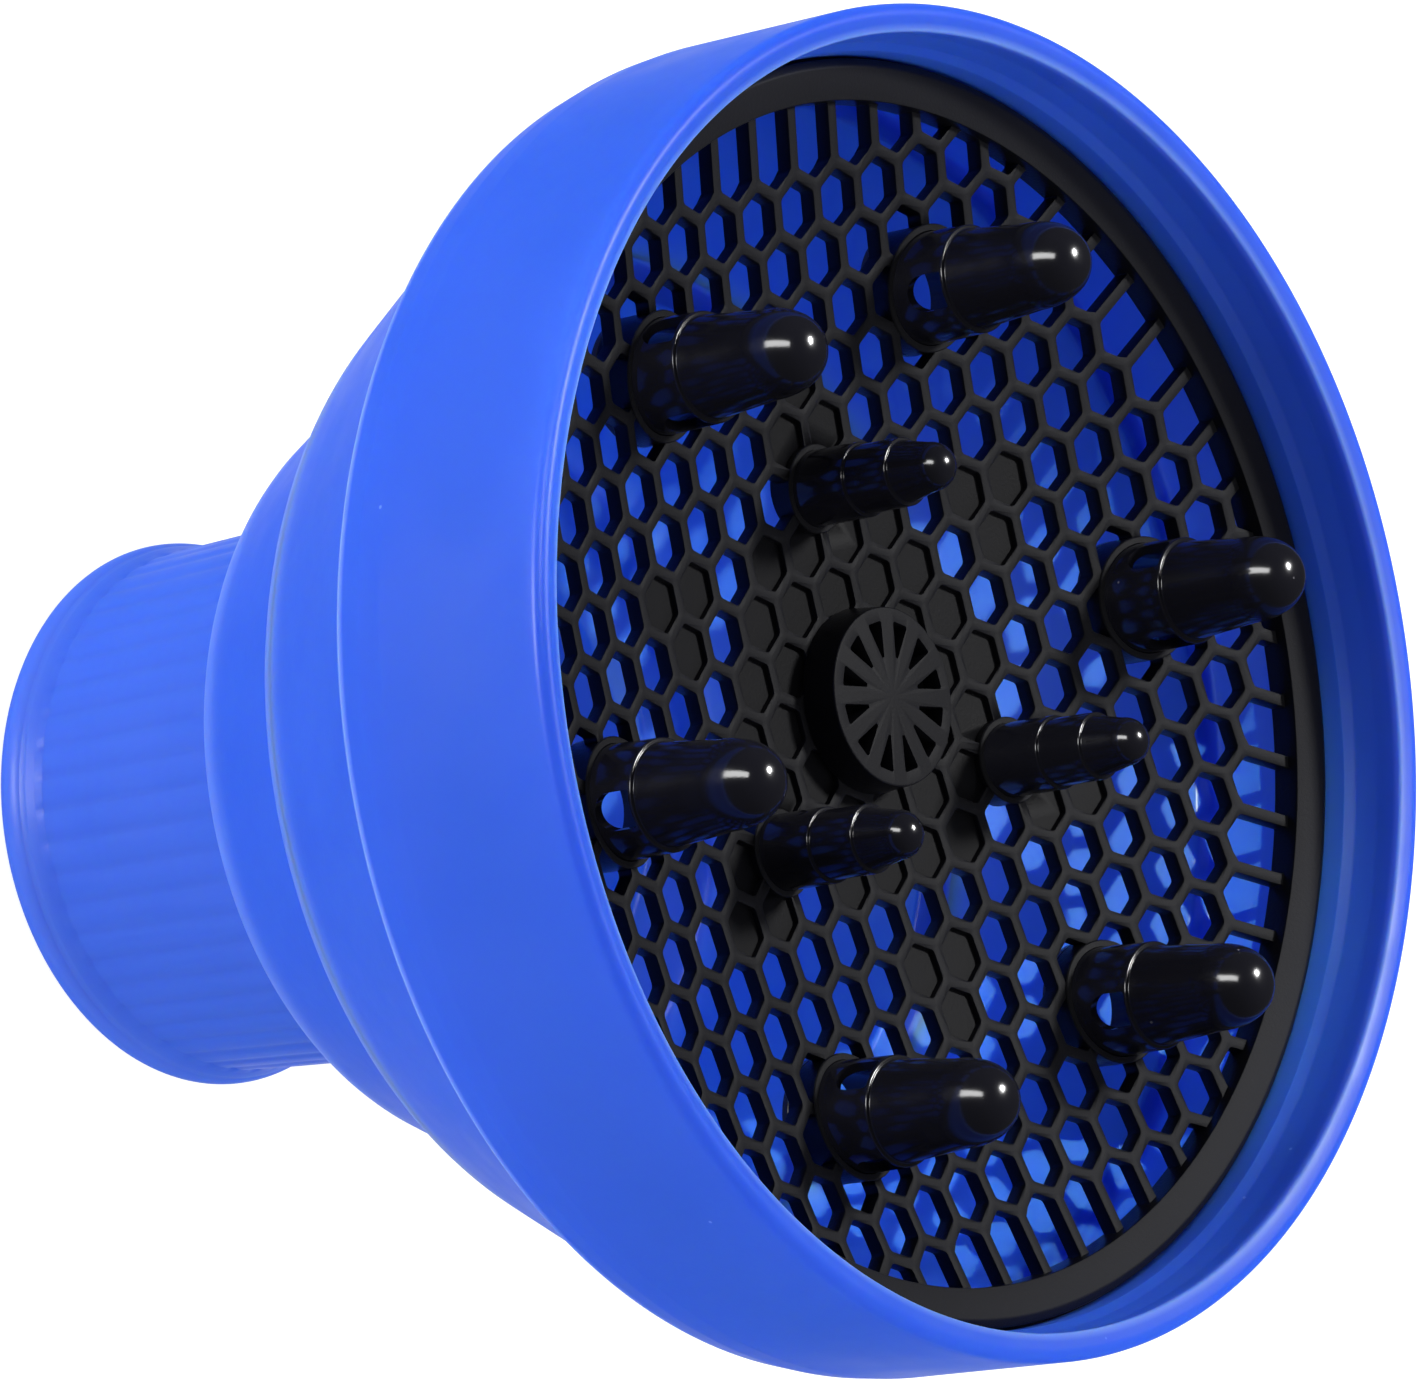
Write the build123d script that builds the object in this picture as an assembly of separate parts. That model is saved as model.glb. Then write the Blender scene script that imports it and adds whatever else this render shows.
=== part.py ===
from build123d import *

import math
import os

# Collapsible hair dryer diffuser, millimetres. +Z runs along the centreline from the dryer to the
# hair, and the origin is the centre of the neck's mouth. The bell is one silicone moulding that
# folds at its creases, so each stretch between two creases is a node of its own.

# Driving dimensions: the silicone bell
RIM_RADIUS = 75.5
RIM_TOP = 127.8
BOWL_WALL = 2.5
FOLD_WALL = 2.0
NECK_BORE_RADIUS = 28.5
NECK_MOUTH_RADIUS = 31.1
NECK_THROAT_RADIUS = 32.6
NECK_TOP = 45.0
CREASE_LEVEL = 69.4
BOWL_FLOOR = 96.2
GRIP_RIB_COUNT = 52

# Driving dimensions: the grille
GRILLE_RADIUS = 70.0
GRILLE_LEVEL = 117.5
DISH_SPHERE_RADIUS = 266.0
DISH_DEPTH = 10.9
PLATE_THICKNESS = 2.0
CELL_PITCH = 7.06
RIB_WIDTH = 1.4
LARGE_FINGER_CIRCLE = 48.5
LARGE_FINGER_REACH = 15.8
SMALL_FINGER_REACH = 9.9

# The bell's corners, each where the outer surface would turn without its rounding
SMALL_FOLD_CORNER = 43.4
SMALL_FOLD_TOP = 54.4
LARGE_FOLD_CORNER = 57.8
LARGE_FOLD_TOP = 72.4
FOLD_ROUNDING = 2.3
BOWL_ROUNDING = 3.4
RIM_ROUNDING = 0.9

# Where one stretch of the bell ends and the next begins
NECK_SPLIT = NECK_TOP + 4.0
CREASE_SPLIT_LOW = CREASE_LEVEL - 1.0
CREASE_SPLIT_HIGH = CREASE_LEVEL + 2.6
BOWL_SPLIT = BOWL_FLOOR + 0.6

# The neck's bead and its grip ribs
BEAD_RADIUS = 2.6
BEAD_CENTRE = 30.0
MOUTH_CHAMFER = 0.6
RIB_DEPTH = 0.25
RIB_START = 6.4
RIB_END = NECK_TOP - 0.8

# The groove that holds the grille in the bowl
RING_SHOULDER_RADIUS = 71.0
RING_SHOULDER_DROP = 0.6
FLANGE_RADIUS = 73.0
FLANGE_TOP = GRILLE_LEVEL - 1.9
FLANGE_BOTTOM = GRILLE_LEVEL - 3.3
GROOVE_CLEARANCE = 0.1
LIP_RADIUS = 71.4
LIP_TOP = GRILLE_LEVEL + 2.0
LIP_SLOPE = 1.0
MOUTH_RADIUS = 71.9
MOUTH_EDGE_DROP = 1.2
MOUTH_EDGE_STEP = 0.4
LEDGE_RADIUS = 68.8
LEDGE_THICKNESS = 1.8
LEDGE_ROOT = 3.4

# The grille's flat outer ring
RING_INNER_RADIUS = 66.4
RING_SLOPE = 1.2
RING_SKIRT_RADIUS = 68.4
RING_SKIRT_BOTTOM = GRILLE_LEVEL - 4.6
PLATE_EDGE = 66.9

# The honeycomb
CELL_RADIUS = (CELL_PITCH - RIB_WIDTH) / math.sqrt(3)
BLIND_DEPTH = 0.7
LAST_ROW = 10
SLOT_REACH = 9.0
BLIND_CORE = 3
BLIND_PAIR_ROW = 5
BLIND_TIP_ROW = 6
HUB_CLEAR_RADIUS = 8.0
EDGE_MARGIN = 0.5
DISH_FLOOR = GRILLE_LEVEL - DISH_DEPTH
SPHERE_CENTRE = DISH_FLOOR + DISH_SPHERE_RADIUS
CUT_LOW = DISH_FLOOR - 6.0
CUT_HEIGHT = DISH_DEPTH + 12.0

# Large fingers: a windowed skirt, a narrow shoulder and a round-nosed hollow body
LARGE_COUNT = 6
SKIRT_BASE_RADIUS = 6.45
SHOULDER_RADIUS = 6.2
BODY_RADIUS = 5.7
BODY_WAIST_RADIUS = 5.45
NOSE_RADIUS = 4.65
SHOULDER_LEVEL = GRILLE_LEVEL + 0.5
FINGER_WALL = 1.1
SOCKET_RING_RADIUS = 7.2
SOCKET_CLEARANCE = 0.03
SOCKET_RAISE = 0.2
SOCKET_BACK = GRILLE_LEVEL - 9.9
FOOT_RADIUS = 7.2
FOOT_THICKNESS = 1.0
WINDOW_WIDTH = 4.2
WINDOW_HEIGHT = 4.9
WINDOW_COUNT = 3
WINDOW_TOP = SHOULDER_LEVEL - 0.35
WINDOW_CUT = 2 * (FOOT_RADIUS - SKIRT_BASE_RADIUS + FINGER_WALL)

# Small fingers: three steps and a round nose
SMALL_COUNT = 3
SMALL_FINGER_CIRCLE = 2 * math.sqrt(3) * CELL_PITCH
SMALL_FIRST_ANGLE = 90.0
STEP_RADII = (4.3, 3.9, 3.45)
STEP_LEVELS = (GRILLE_LEVEL - 2.4, GRILLE_LEVEL + 3.5)
SMALL_NOSE_RADIUS = 2.75
SMALL_RING_RADIUS = 5.0
SMALL_BACK = GRILLE_LEVEL - 12.2

# Centre rosette
ROSETTE_RADIUS = 10.1
ROSETTE_BASE_RADIUS = 10.5
ROSETTE_FACE = GRILLE_LEVEL - 6.4
ROSETTE_BASE = DISH_FLOOR + 0.25
ROSETTE_POCKETS = 12
POCKET_DEPTH = 2.4
POCKET_INNER_RADIUS = 4.5
POCKET_OUTER_RADIUS = 8.5
POCKET_INNER_WIDTH = 0.35
POCKET_OUTER_WIDTH = 2.4
SPIGOT_RADIUS = 5.0


def fold_radius(corner, top, low, high, level):
    """Radius of a fold's straight outer side at a level."""
    return corner + (top - corner) * (level - low) / (high - low)


def small_fold_radius(level):
    return fold_radius(SMALL_FOLD_CORNER, SMALL_FOLD_TOP, NECK_TOP, CREASE_LEVEL, level)


def large_fold_radius(level):
    return fold_radius(LARGE_FOLD_CORNER, LARGE_FOLD_TOP, CREASE_LEVEL, BOWL_FLOOR, level)


def slant_wall(corner, top, low, high):
    """Thickness of a sloping fold's wall, measured level."""
    return FOLD_WALL * math.hypot(1.0, (top - corner) / (high - low))


SMALL_WALL = slant_wall(SMALL_FOLD_CORNER, SMALL_FOLD_TOP, NECK_TOP, CREASE_LEVEL)
LARGE_WALL = slant_wall(LARGE_FOLD_CORNER, LARGE_FOLD_TOP, CREASE_LEVEL, BOWL_FLOOR)


def point(radius, level):
    return Vector(radius, 0, level)


def spin(edges):
    """A solid of revolution from the edges of half its section."""
    return revolve(make_face(Wire(edges).edges()), Axis.Z)


def outline(points, closed=True):
    """Straight edges through (radius, level) points."""
    ends = [point(*p) for p in points]
    if closed:
        ends.append(ends[0])
    return [Line(a, b) for a, b in zip(ends, ends[1:])]


def turned(points):
    return spin(outline(points))


def around(shape, circle, angle):
    """The shape moved out to a circle about the centreline, and turned to an angle."""
    return Rot(0, 0, angle) * Pos(circle, 0, 0) * shape


def neck_sleeve():
    """Ribbed neck, its round bead, and the shoulder that the small fold stands on."""
    bead_side = math.sqrt(BEAD_RADIUS**2 - (NECK_MOUTH_RADIUS - BEAD_CENTRE) ** 2)
    bead_top = BEAD_RADIUS + bead_side
    floor = NECK_TOP + FOLD_WALL
    split_radius = small_fold_radius(NECK_SPLIT)
    inner_corner = small_fold_radius(floor) - SMALL_WALL
    side = FilletPolyline(
        point(NECK_THROAT_RADIUS, NECK_TOP),
        point(SMALL_FOLD_CORNER, NECK_TOP),
        point(split_radius, NECK_SPLIT),
        radius=FOLD_ROUNDING,
    )
    bead = ThreePointArc(
        point(BEAD_CENTRE, 0),
        point(BEAD_CENTRE + BEAD_RADIUS, BEAD_RADIUS),
        point(NECK_MOUTH_RADIUS, bead_top),
    )
    rest = outline(
        [
            (split_radius, NECK_SPLIT),
            (split_radius - SMALL_WALL, NECK_SPLIT),
            (inner_corner, floor),
            (NECK_BORE_RADIUS + FOLD_WALL, floor),
            (NECK_BORE_RADIUS, floor - FOLD_WALL),
            (NECK_BORE_RADIUS, MOUTH_CHAMFER),
            (NECK_BORE_RADIUS + MOUTH_CHAMFER, 0),
            (BEAD_CENTRE, 0),
        ],
        closed=False,
    )
    wall = Line(point(NECK_MOUTH_RADIUS, bead_top), point(NECK_THROAT_RADIUS, NECK_TOP))
    body = spin([bead, wall, *side.edges(), *rest])
    return body - flutes()


def flutes():
    """Shallow flutes that leave the grip ribs standing between them."""
    length = RIB_END - RIB_START
    taper = math.degrees(math.atan2(NECK_THROAT_RADIUS - NECK_MOUTH_RADIUS, NECK_TOP))
    middle = (NECK_THROAT_RADIUS + NECK_MOUTH_RADIUS) / 2
    width = math.pi * middle / GRIP_RIB_COUNT
    flute = Rot(0, taper, 0) * Box(2 * RIB_DEPTH, width, length)
    flute = Pos(middle, 0, (RIB_START + RIB_END) / 2) * flute
    return [Rot(0, 0, 360 * k / GRIP_RIB_COUNT) * flute for k in range(GRIP_RIB_COUNT)]


def small_fold():
    """The narrow conical fold between the neck and the crease ring."""
    low = small_fold_radius(NECK_SPLIT)
    high = small_fold_radius(CREASE_SPLIT_LOW)
    return turned(
        [
            (low, NECK_SPLIT),
            (high, CREASE_SPLIT_LOW),
            (high - SMALL_WALL, CREASE_SPLIT_LOW),
            (low - SMALL_WALL, NECK_SPLIT),
        ]
    )


def crease_ring():
    """The stiff rounded step between the two folds."""
    floor = CREASE_LEVEL + FOLD_WALL
    low = small_fold_radius(CREASE_SPLIT_LOW)
    high = large_fold_radius(CREASE_SPLIT_HIGH)
    side = FilletPolyline(
        point(SMALL_FOLD_TOP, CREASE_LEVEL),
        point(LARGE_FOLD_CORNER, CREASE_LEVEL),
        point(high, CREASE_SPLIT_HIGH),
        radius=FOLD_ROUNDING,
    )
    rest = outline(
        [
            (high, CREASE_SPLIT_HIGH),
            (high - LARGE_WALL, CREASE_SPLIT_HIGH),
            (large_fold_radius(floor) - LARGE_WALL, floor),
            (SMALL_FOLD_TOP - SMALL_WALL, floor),
            (low - SMALL_WALL, CREASE_SPLIT_LOW),
            (low, CREASE_SPLIT_LOW),
            (SMALL_FOLD_TOP, CREASE_LEVEL),
        ],
        closed=False,
    )
    return spin([*side.edges(), *rest])


def large_fold():
    """The wide conical fold between the crease ring and the bowl."""
    low = large_fold_radius(CREASE_SPLIT_HIGH)
    return turned(
        [
            (low, CREASE_SPLIT_HIGH),
            (LARGE_FOLD_TOP, BOWL_FLOOR),
            (LARGE_FOLD_TOP, BOWL_SPLIT),
            (LARGE_FOLD_TOP - LARGE_WALL, BOWL_SPLIT),
            (low - LARGE_WALL, CREASE_SPLIT_HIGH),
        ]
    )


def bowl_shell():
    """The deep front bowl, from its rounded shoulder to the rim, with the grille's groove inside."""
    inner = RIM_RADIUS - BOWL_WALL
    centre = point(RIM_RADIUS - BOWL_ROUNDING, BOWL_FLOOR + BOWL_ROUNDING)
    start = math.degrees(math.asin((BOWL_SPLIT - BOWL_FLOOR - BOWL_ROUNDING) / BOWL_ROUNDING))
    shoulder = arc_about(centre, BOWL_ROUNDING, start, 0)
    inside = arc_about(centre, BOWL_ROUNDING - BOWL_WALL, 0, -90)
    low_end = shoulder @ 0
    floor_level = BOWL_FLOOR + BOWL_WALL
    fold_inside = LARGE_FOLD_TOP - LARGE_WALL
    groove_low = FLANGE_BOTTOM - GROOVE_CLEARANCE
    groove_high = FLANGE_TOP + GROOVE_CLEARANCE
    rim_edge = RIM_TOP - RIM_ROUNDING
    outer = outline([(RIM_RADIUS, centre.Z), (RIM_RADIUS, rim_edge)], closed=False)
    rim = arc_about(point(RIM_RADIUS - RIM_ROUNDING, rim_edge), RIM_ROUNDING, 0, 90)
    mouth = outline(
        [
            (RIM_RADIUS - RIM_ROUNDING, RIM_TOP),
            (MOUTH_RADIUS, RIM_TOP - MOUTH_EDGE_DROP / 2),
            (MOUTH_RADIUS - MOUTH_EDGE_STEP, RIM_TOP - MOUTH_EDGE_DROP),
            (MOUTH_RADIUS, LIP_TOP + LIP_SLOPE),
            (LIP_RADIUS, LIP_TOP),
            (LIP_RADIUS, groove_high),
            (FLANGE_RADIUS + GROOVE_CLEARANCE, groove_high),
            (FLANGE_RADIUS + GROOVE_CLEARANCE, groove_low),
            (LEDGE_RADIUS, groove_low),
            (LEDGE_RADIUS, groove_low - LEDGE_THICKNESS),
            (inner, groove_low - LEDGE_THICKNESS - LEDGE_ROOT),
            (inner, centre.Z),
        ],
        closed=False,
    )
    floor = outline(
        [
            (centre.X, floor_level),
            (fold_inside, floor_level),
            (fold_inside, BOWL_SPLIT),
            (low_end.X, BOWL_SPLIT),
        ],
        closed=False,
    )
    return spin([shoulder, *outer, rim, *mouth, inside, *floor])


def arc_about(centre, radius, start, end):
    """An arc in the section's plane, from one angle to another."""
    angles = [math.radians(a) for a in (start, (start + end) / 2, end)]
    ends = [centre + point(radius * math.cos(a), radius * math.sin(a)) for a in angles]
    return ThreePointArc(*ends)


def dish(radius, drop, top_drop=0.0):
    """The dished plate out to a radius, between two depths behind its front face."""
    front = DISH_SPHERE_RADIUS + top_drop
    back = DISH_SPHERE_RADIUS + drop
    tips = [sphere_point(r, radius) for r in (front, back)]
    middles = [sphere_point(r, radius / 2) for r in (front, back)]
    roots = [sphere_point(r, 0) for r in (front, back)]
    edges = [
        ThreePointArc(roots[0], middles[0], tips[0]),
        Line(tips[0], tips[1]),
        ThreePointArc(tips[1], middles[1], roots[1]),
        Line(roots[1], roots[0]),
    ]
    return spin(edges)


def sphere_point(sphere_radius, radius):
    """The point of a section's arc at a distance from the centreline."""
    return point(radius, SPHERE_CENTRE - math.sqrt(sphere_radius**2 - radius**2))


def row_of(i, j):
    """How many rows of cells a cell lies from the centre."""
    return max(abs(i), abs(j), abs(i + j))


def cell_centre(i, j):
    return Vector(CELL_PITCH * (i + j / 2), CELL_PITCH * j * math.sqrt(3) / 2)


def side_direction(centre):
    """Angle of the hexagon's side that a cell lies behind."""
    angle = math.degrees(math.atan2(centre.Y, centre.X))
    return 60 * round((angle - 30) / 60) + 30


def is_blind(i, j):
    """Closed cells: the inner rows, and a point of three more cells on each side of them."""
    if row_of(i, j) <= BLIND_CORE:
        return True
    centre = cell_centre(i, j)
    out = math.radians(side_direction(centre))
    along = centre.X * math.cos(out) + centre.Y * math.sin(out)
    across = abs(centre.Y * math.cos(out) - centre.X * math.sin(out))
    row_step = CELL_PITCH * math.sqrt(3) / 2
    row = round(along / row_step)
    pair = row == BLIND_PAIR_ROW and across < CELL_PITCH
    tip = row == BLIND_TIP_ROW and across < RIB_WIDTH
    return pair or tip


def cell_face(i, j):
    """A hexagonal hole, drawn out to the ring in the last row."""
    centre = cell_centre(i, j)
    out = side_direction(centre)
    reach = SLOT_REACH if row_of(i, j) == LAST_ROW else 0.0
    shift = Vector(reach * math.cos(math.radians(out)), reach * math.sin(math.radians(out)))
    corners = []
    for turn in range(-180, 180, 60):
        angle = math.radians(out + turn)
        corner = centre + Vector(CELL_RADIUS * math.cos(angle), CELL_RADIUS * math.sin(angle))
        corners.append(corner + shift if abs(turn) <= 60 else corner)
    return make_face(Polyline(*corners, close=True).edges())


def cells(wanted):
    """The cells of one kind, as (i, j) pairs."""
    found = []
    for i in range(-LAST_ROW, LAST_ROW + 1):
        for j in range(-LAST_ROW, LAST_ROW + 1):
            centre = cell_centre(i, j).length
            inside = HUB_CLEAR_RADIUS < centre < RING_INNER_RADIUS + CELL_RADIUS - 2 * EDGE_MARGIN
            if row_of(i, j) <= LAST_ROW and inside and is_blind(i, j) == wanted:
                found.append((i, j))
    return found


def prisms(pairs):
    """Upright prisms through the plate, one for each cell."""
    faces = [Pos(0, 0, CUT_LOW) * cell_face(i, j) for i, j in pairs]
    return [extrude(face, amount=CUT_HEIGHT, dir=(0, 0, 1)) for face in faces]


def tube(outer, inner, low, high):
    return turned([(inner, low), (outer, low), (outer, high), (inner, high)])


def rod(radius, low, high):
    return Pos(0, 0, (low + high) / 2) * Cylinder(radius, high - low)


def large_angles():
    return [360 * k / LARGE_COUNT for k in range(LARGE_COUNT)]


def small_angles():
    return [SMALL_FIRST_ANGLE + 360 * k / SMALL_COUNT for k in range(SMALL_COUNT)]


def grille_frame():
    """The dished honeycomb plate, its outer ring and snap flange, and a socket for each finger."""
    open_cells = prisms(cells(False))
    pockets = Part() + prisms(cells(True))
    pockets = pockets & dish(PLATE_EDGE, BLIND_DEPTH, -PLATE_THICKNESS)
    plate = dish(PLATE_EDGE, PLATE_THICKNESS) - open_cells - pockets
    ring = turned(
        [
            (RING_INNER_RADIUS, GRILLE_LEVEL - RING_SLOPE),
            (GRILLE_RADIUS, GRILLE_LEVEL),
            (RING_SHOULDER_RADIUS, GRILLE_LEVEL - RING_SHOULDER_DROP),
            (RING_SHOULDER_RADIUS, FLANGE_TOP),
            (FLANGE_RADIUS, FLANGE_TOP),
            (FLANGE_RADIUS, FLANGE_BOTTOM),
            (RING_SKIRT_RADIUS, FLANGE_BOTTOM),
            (RING_SKIRT_RADIUS, RING_SKIRT_BOTTOM),
            (RING_INNER_RADIUS, RING_SKIRT_BOTTOM),
        ]
    )
    large_ring = rod(SOCKET_RING_RADIUS, SOCKET_BACK, GRILLE_LEVEL)
    small_ring = rod(SMALL_RING_RADIUS, SMALL_BACK, GRILLE_LEVEL)
    sockets = [around(large_ring, LARGE_FINGER_CIRCLE, a) for a in large_angles()]
    sockets += [around(small_ring, SMALL_FINGER_CIRCLE, a) for a in small_angles()]
    front = Pos(0, 0, SPHERE_CENTRE) * Sphere(DISH_SPHERE_RADIUS - SOCKET_RAISE)
    sockets = [socket - front for socket in sockets]
    large_hole = rod(SKIRT_BASE_RADIUS + SOCKET_CLEARANCE, SOCKET_BACK - 1, GRILLE_LEVEL)
    small_hole = rod(STEP_RADII[0] + SOCKET_CLEARANCE, SMALL_BACK - 1, GRILLE_LEVEL)
    holes = [around(large_hole, LARGE_FINGER_CIRCLE, a) for a in large_angles()]
    holes += [around(small_hole, SMALL_FINGER_CIRCLE, a) for a in small_angles()]
    holes.append(rod(SPIGOT_RADIUS + SOCKET_CLEARANCE, CUT_LOW, GRILLE_LEVEL))
    return plate + ring + sockets - holes


def large_finger():
    """A hollow finger, open at the back, with three windows in the skirt below its shoulder."""
    nose_level = GRILLE_LEVEL + LARGE_FINGER_REACH - NOSE_RADIUS
    waist = (SHOULDER_LEVEL + nose_level) / 2
    inner_nose = NOSE_RADIUS - FINGER_WALL
    outer = outline(
        [
            (SKIRT_BASE_RADIUS - FINGER_WALL, SOCKET_BACK - FOOT_THICKNESS),
            (FOOT_RADIUS, SOCKET_BACK - FOOT_THICKNESS),
            (FOOT_RADIUS, SOCKET_BACK),
            (SKIRT_BASE_RADIUS, SOCKET_BACK),
            (SHOULDER_RADIUS, SHOULDER_LEVEL),
            (BODY_RADIUS, SHOULDER_LEVEL),
            (BODY_WAIST_RADIUS, waist),
            (NOSE_RADIUS, nose_level),
        ],
        closed=False,
    )
    inner = outline(
        [
            (inner_nose, nose_level),
            (BODY_RADIUS - FINGER_WALL, SHOULDER_LEVEL),
            (SHOULDER_RADIUS - FINGER_WALL, SHOULDER_LEVEL - FINGER_WALL),
            (SKIRT_BASE_RADIUS - FINGER_WALL, SOCKET_BACK - FOOT_THICKNESS),
        ],
        closed=False,
    )
    nose = arc_about(point(0, nose_level), NOSE_RADIUS, 0, 90)
    hollow = arc_about(point(0, nose_level), inner_nose, 90, 0)
    axis = Line(nose @ 1, hollow @ 0)
    body = spin([*outer, nose, axis, hollow, *inner])
    return body - windows()


def windows():
    """D-shaped windows through the skirt, square at the shoulder and round towards the plate."""
    straight = WINDOW_HEIGHT - WINDOW_WIDTH / 2
    block = Box(WINDOW_CUT, WINDOW_WIDTH, straight)
    block = Pos(SKIRT_BASE_RADIUS, 0, WINDOW_TOP - straight / 2) * block
    bottom = Rot(0, 90, 0) * Cylinder(WINDOW_WIDTH / 2, WINDOW_CUT)
    bottom = Pos(SKIRT_BASE_RADIUS, 0, WINDOW_TOP - straight) * bottom
    turns = [Rot(0, 0, 360 * k / WINDOW_COUNT) for k in range(WINDOW_COUNT)]
    return [turn * cutter for turn in turns for cutter in (block, bottom)]


def small_finger():
    """A solid stepped finger with a round nose."""
    nose_level = GRILLE_LEVEL + SMALL_FINGER_REACH - SMALL_NOSE_RADIUS
    sides = outline(
        [
            (0, SMALL_BACK),
            (STEP_RADII[0], SMALL_BACK),
            (STEP_RADII[0], STEP_LEVELS[0]),
            (STEP_RADII[1], STEP_LEVELS[0]),
            (STEP_RADII[1], STEP_LEVELS[1]),
            (STEP_RADII[2], STEP_LEVELS[1]),
            (SMALL_NOSE_RADIUS, nose_level),
        ],
        closed=False,
    )
    nose = arc_about(point(0, nose_level), SMALL_NOSE_RADIUS, 0, 90)
    return spin([*sides, nose, Line(nose @ 1, point(0, SMALL_BACK))])


def centre_rosette():
    """The raised disc at the centre, with wedge-shaped pockets between its spokes."""
    disc = turned(
        [
            (0, DISH_FLOOR - PLATE_THICKNESS),
            (SPIGOT_RADIUS, DISH_FLOOR - PLATE_THICKNESS),
            (SPIGOT_RADIUS, ROSETTE_BASE),
            (ROSETTE_BASE_RADIUS, ROSETTE_BASE),
            (ROSETTE_RADIUS, ROSETTE_FACE),
            (0, ROSETTE_FACE),
        ]
    )
    wedge = Polyline(
        (POCKET_INNER_RADIUS, -POCKET_INNER_WIDTH / 2),
        (POCKET_OUTER_RADIUS, -POCKET_OUTER_WIDTH / 2),
        (POCKET_OUTER_RADIUS, POCKET_OUTER_WIDTH / 2),
        (POCKET_INNER_RADIUS, POCKET_INNER_WIDTH / 2),
        close=True,
    )
    face = Pos(0, 0, ROSETTE_FACE - POCKET_DEPTH) * make_face(wedge.edges())
    pocket = extrude(face, amount=POCKET_DEPTH + 1, dir=(0, 0, 1))
    return disc - [Rot(0, 0, 360 * k / ROSETTE_POCKETS) * pocket for k in range(ROSETTE_POCKETS)]


def nodes():
    """Every node by name."""
    made = {
        "neck_sleeve": neck_sleeve(),
        "small_fold": small_fold(),
        "crease_ring": crease_ring(),
        "large_fold": large_fold(),
        "bowl_shell": bowl_shell(),
        "grille_frame": grille_frame(),
        "centre_rosette": centre_rosette(),
    }
    large = large_finger()
    for number, angle in enumerate(large_angles(), start=1):
        made[f"large_finger_{number}"] = around(large, LARGE_FINGER_CIRCLE, angle)
    small = small_finger()
    for number, angle in enumerate(small_angles(), start=1):
        made[f"small_finger_{number}"] = around(small, SMALL_FINGER_CIRCLE, angle)
    return made


os.makedirs("parts", exist_ok=True)
for name, solid in nodes().items():
    export_step(solid, f"parts/{name}.step")
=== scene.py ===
import math

import bmesh
import bpy
from mathutils import Matrix, Vector


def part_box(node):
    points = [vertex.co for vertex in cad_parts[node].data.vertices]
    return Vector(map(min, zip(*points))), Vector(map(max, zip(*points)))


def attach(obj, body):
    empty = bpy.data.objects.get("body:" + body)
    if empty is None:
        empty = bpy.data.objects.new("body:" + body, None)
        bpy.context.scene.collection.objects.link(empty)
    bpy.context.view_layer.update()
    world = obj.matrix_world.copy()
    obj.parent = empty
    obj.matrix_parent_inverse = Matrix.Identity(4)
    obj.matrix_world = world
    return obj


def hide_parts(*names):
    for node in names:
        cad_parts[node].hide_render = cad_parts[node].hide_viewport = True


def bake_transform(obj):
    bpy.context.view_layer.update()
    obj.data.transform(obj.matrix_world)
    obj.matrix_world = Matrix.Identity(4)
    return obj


# Collapsible hair dryer diffuser. Lengths are in millimetres until a mesh is made, which turns them
# into metres. +Z runs along the centreline, from the dryer to the hair.

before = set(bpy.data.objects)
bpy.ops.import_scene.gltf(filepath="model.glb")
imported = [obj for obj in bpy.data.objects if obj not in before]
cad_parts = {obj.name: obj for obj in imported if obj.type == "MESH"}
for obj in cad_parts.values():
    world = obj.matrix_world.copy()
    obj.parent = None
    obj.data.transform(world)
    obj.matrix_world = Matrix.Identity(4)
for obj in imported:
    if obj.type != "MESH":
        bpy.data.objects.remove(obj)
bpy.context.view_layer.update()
MM = 0.001
MERGE_DISTANCE = 0.008


def box_mm(node):
    low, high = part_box(node)
    return low / MM, high / MM


# Levels and radii read from the CAD nodes
CREASE_LOW, CREASE_HIGH = box_mm("crease_ring")
BOWL_LOW, BOWL_HIGH = box_mm("bowl_shell")
HUB_LOW, HUB_HIGH = box_mm("centre_rosette")
NECK_TOP = box_mm("neck_sleeve")[1].z - 4.0
CREASE = CREASE_LOW.z + 1.0
SEAM = CREASE_HIGH.z
LARGE_FOLD_TOP = box_mm("large_fold")[1].x
BOWL_FLOOR = BOWL_LOW.z - 0.6
RIM = BOWL_HIGH.x
RIM_TOP = BOWL_HIGH.z
RING_FACE = box_mm("grille_frame")[1].z
DISH_FLOOR = HUB_LOW.z + 2.0
LARGE_TIP = box_mm("large_finger_1")[1].z
SMALL_TIP = box_mm("small_finger_1")[1].z

# The bell: corners of its outline, walls, bead and grip ribs
BORE = 28.5
NECK_MOUTH = 31.1
NECK_WIDENING = 1.5
SMALL_FOLD_FOOT = 43.4
SMALL_FOLD_TOP = 54.4
LARGE_FOLD_FOOT = 57.8
LIP_ROUNDING = 4.4
WALL = 2.0
BOWL_WALL = 2.5
BEAD_CENTRE = 30.0
BEAD_RADIUS = 2.6
BEAD_TURN = 35.0
RIB_COUNT = 52
RIB_START = 6.9
RIB_GROOVE = 0.2
# How far the painted highlights and painted light on the silicone spread
PAINTED_LIGHT_SPREAD = 2.8
RIDGE_HIGHLIGHT_SPREAD = 0.42
BELL_COLUMNS = 416
BELL_STEP = 1.1

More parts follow.
